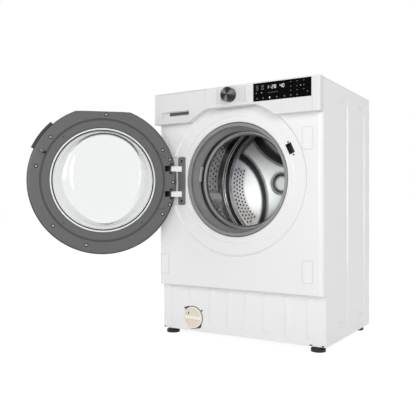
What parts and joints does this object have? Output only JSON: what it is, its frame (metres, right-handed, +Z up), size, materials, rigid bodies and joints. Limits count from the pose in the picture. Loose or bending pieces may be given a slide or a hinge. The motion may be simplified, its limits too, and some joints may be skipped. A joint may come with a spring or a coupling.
{
  "type": "integrated washing machine",
  "caption": "Built-in front-loading washing machine with its porthole door open: sprung tub, belt-driven drum, detergent drawer, programme knob, drain filter and levelling feet.",
  "frame": {"origin": "on the floor, midway between the four feet", "axes": "+Z up, -Y out of the front (the fascia side), +X to the right as seen from the front"},
  "size_m": [0.8816, 0.8367, 0.82],
  "materials": {
    "white_enamel": "gloss enamel",
    "white_moulding": "satin moulded plastic",
    "galvanised": "galvanised sheet",
    "base_plastic": "moulded",
    "display_black": "polished",
    "board_green": "circuit laminate",
    "knob_metal": "spun and lacquered",
    "tray_white": "moulded",
    "siphon_blue": "moulded",
    "door_dark": "fine grain",
    "door_grey": "fine grain",
    "clear_glass": "clear",
    "clear_window": "clear",
    "pin_steel": "bright",
    "zinc_cast": "zinc casting",
    "lock_black": "moulded",
    "gasket_grey": "moulded rubber",
    "tub_plastic": "filled plastic",
    "weight_grey": "cast",
    "heater_steel": "bright",
    "bearing_steel": "ground",
    "motor_alloy": "die cast",
    "belt_black": "ribbed",
    "spring_sleeve": "moulded",
    "damper_black": "moulded",
    "drum_stainless": "polished stainless",
    "lifter_plastic": "moulded",
    "spider_alloy": "die cast",
    "pulley_alloy": "die cast",
    "pump_grey": "moulded",
    "cap_cream": "moulded",
    "hose_grey": "moulded rubber",
    "valve_white": "moulded",
    "foot_black": "moulded",
    "cap_white": "moulded"
  },
  "bodies": {
    "cabinet": {"side_panel_right": "white_enamel", "side_panel_left": "white_enamel", "rear_panel": "galvanised", "rear_access_cover": "galvanised", "top_panel": "galvanised", "base_pan": "base_plastic", "front_panel": "white_enamel", "plinth_panel": "white_enamel", "fascia": "white_moulding", "display_window": "display_black", "control_board": "board_green", "hinge_blanking_covers": "white_moulding", "dispenser_housing": "tray_white", "door_hinge_bracket": "zinc_cast", "door_lock": "lock_black", "door_gasket": "gasket_grey", "damper_rods": "pin_steel", "filter_housing": "pump_grey", "drain_pump": "pump_grey", "drain_hose": "hose_grey", "drain_outlet": "pump_grey", "inlet_valve": "valve_white", "inlet_hose": "hose_grey", "cord_gland": "lock_black", "transit_bolt_caps": "cap_white", "suspension_springs": "spring_sleeve", "sump_hose": "hose_grey", "fill_hose": "hose_grey"},
    "tub": {"tub_front": "tub_plastic", "tub_rear": "tub_plastic", "counterweight_upper": "weight_grey", "counterweight_lower": "weight_grey", "heater": "heater_steel", "motor": "motor_alloy", "drum_bearings": "bearing_steel", "drive_belt": "belt_black", "damper_cylinders": "damper_black"},
    "drum": {"drum_shell": "drum_stainless", "drum_front": "drum_stainless", "drum_back": "drum_stainless", "drum_lifters": "lifter_plastic", "drum_spider": "spider_alloy", "drum_shaft": "bearing_steel", "drum_pulley": "pulley_alloy"},
    "motor_rotor": {"motor_pulley": "bearing_steel"},
    "door": {"door_outer_frame": "door_dark", "door_inner_frame": "door_grey", "door_glass": "clear_glass", "door_window": "clear_window", "door_hinge_pins": "pin_steel"},
    "latch": {"latch_hook": "pin_steel"},
    "drawer": {"drawer_front": "white_moulding", "drawer_tray": "tray_white", "softener_siphon": "siphon_blue"},
    "knob": {"programme_knob": "knob_metal"},
    "filter_plug": {"filter_cap": "cap_cream"},
    "front_left_foot": {"foot_front_left": "foot_black"},
    "front_right_foot": {"foot_front_right": "foot_black"},
    "rear_left_foot": {"foot_rear_left": "foot_black"},
    "rear_right_foot": {"foot_rear_right": "foot_black"}
  },
  "joints": [
    {"name": "tub_bounce", "type": "slide", "parent": "cabinet", "child": "tub", "axis": [0, 0, 1], "range_m": [-0.01, 0.01], "stiffness_N_per_m": 16000, "springref_m": 0.01828, "deforming": ["suspension_springs", "sump_hose", "fill_hose", "door_gasket"]},
    {"name": "drum_spin", "type": "hinge", "parent": "tub", "child": "drum", "pos_m": [0, 0.0425, 0.524], "axis": [0, 1, 0], "continuous": true},
    {"name": "motor_spin", "type": "hinge", "parent": "tub", "child": "motor_rotor", "pos_m": [0.04, 0.2125, 0.192], "axis": [0, 1, 0], "continuous": true},
    {"name": "door_swing", "type": "hinge", "parent": "cabinet", "child": "door", "pos_m": [-0.231, -0.2455, 0.5225], "axis": [0, 0, -1], "range_deg": [-137, 0]},
    {"name": "latch_click", "type": "hinge", "parent": "door", "child": "latch", "pos_m": [-0.53252, -0.54035, 0.6145], "axis": [0.3137, 0.2925, 0.9033], "range_deg": [0, 8], "stiffness_Nm_per_rad": 0.5},
    {"name": "drawer_slide", "type": "slide", "parent": "cabinet", "child": "drawer", "axis": [0, -1, 0], "range_m": [0, 0.19]},
    {"name": "knob_turn", "type": "hinge", "parent": "cabinet", "child": "knob", "pos_m": [0, -0.2675, 0.79], "axis": [0, -1, 0], "continuous": true},
    {"name": "filter_turn", "type": "hinge", "parent": "cabinet", "child": "filter_plug", "pos_m": [-0.1765, -0.2005, 0.06], "axis": [0, -1, 0], "range_deg": [0, 180]},
    {"name": "front_left_level", "type": "slide", "parent": "cabinet", "child": "front_left_foot", "axis": [0, 0, -1], "range_m": [0, 0.02]},
    {"name": "front_right_level", "type": "slide", "parent": "cabinet", "child": "front_right_foot", "axis": [0, 0, -1], "range_m": [0, 0.02]},
    {"name": "rear_left_level", "type": "slide", "parent": "cabinet", "child": "rear_left_foot", "axis": [0, 0, -1], "range_m": [0, 0.02]},
    {"name": "rear_right_level", "type": "slide", "parent": "cabinet", "child": "rear_right_foot", "axis": [0, 0, -1], "range_m": [0, 0.02]}
  ],
  "couplings": [
    {"joint": "motor_spin", "follows": "drum_spin", "ratio": 14.5}
  ]
}
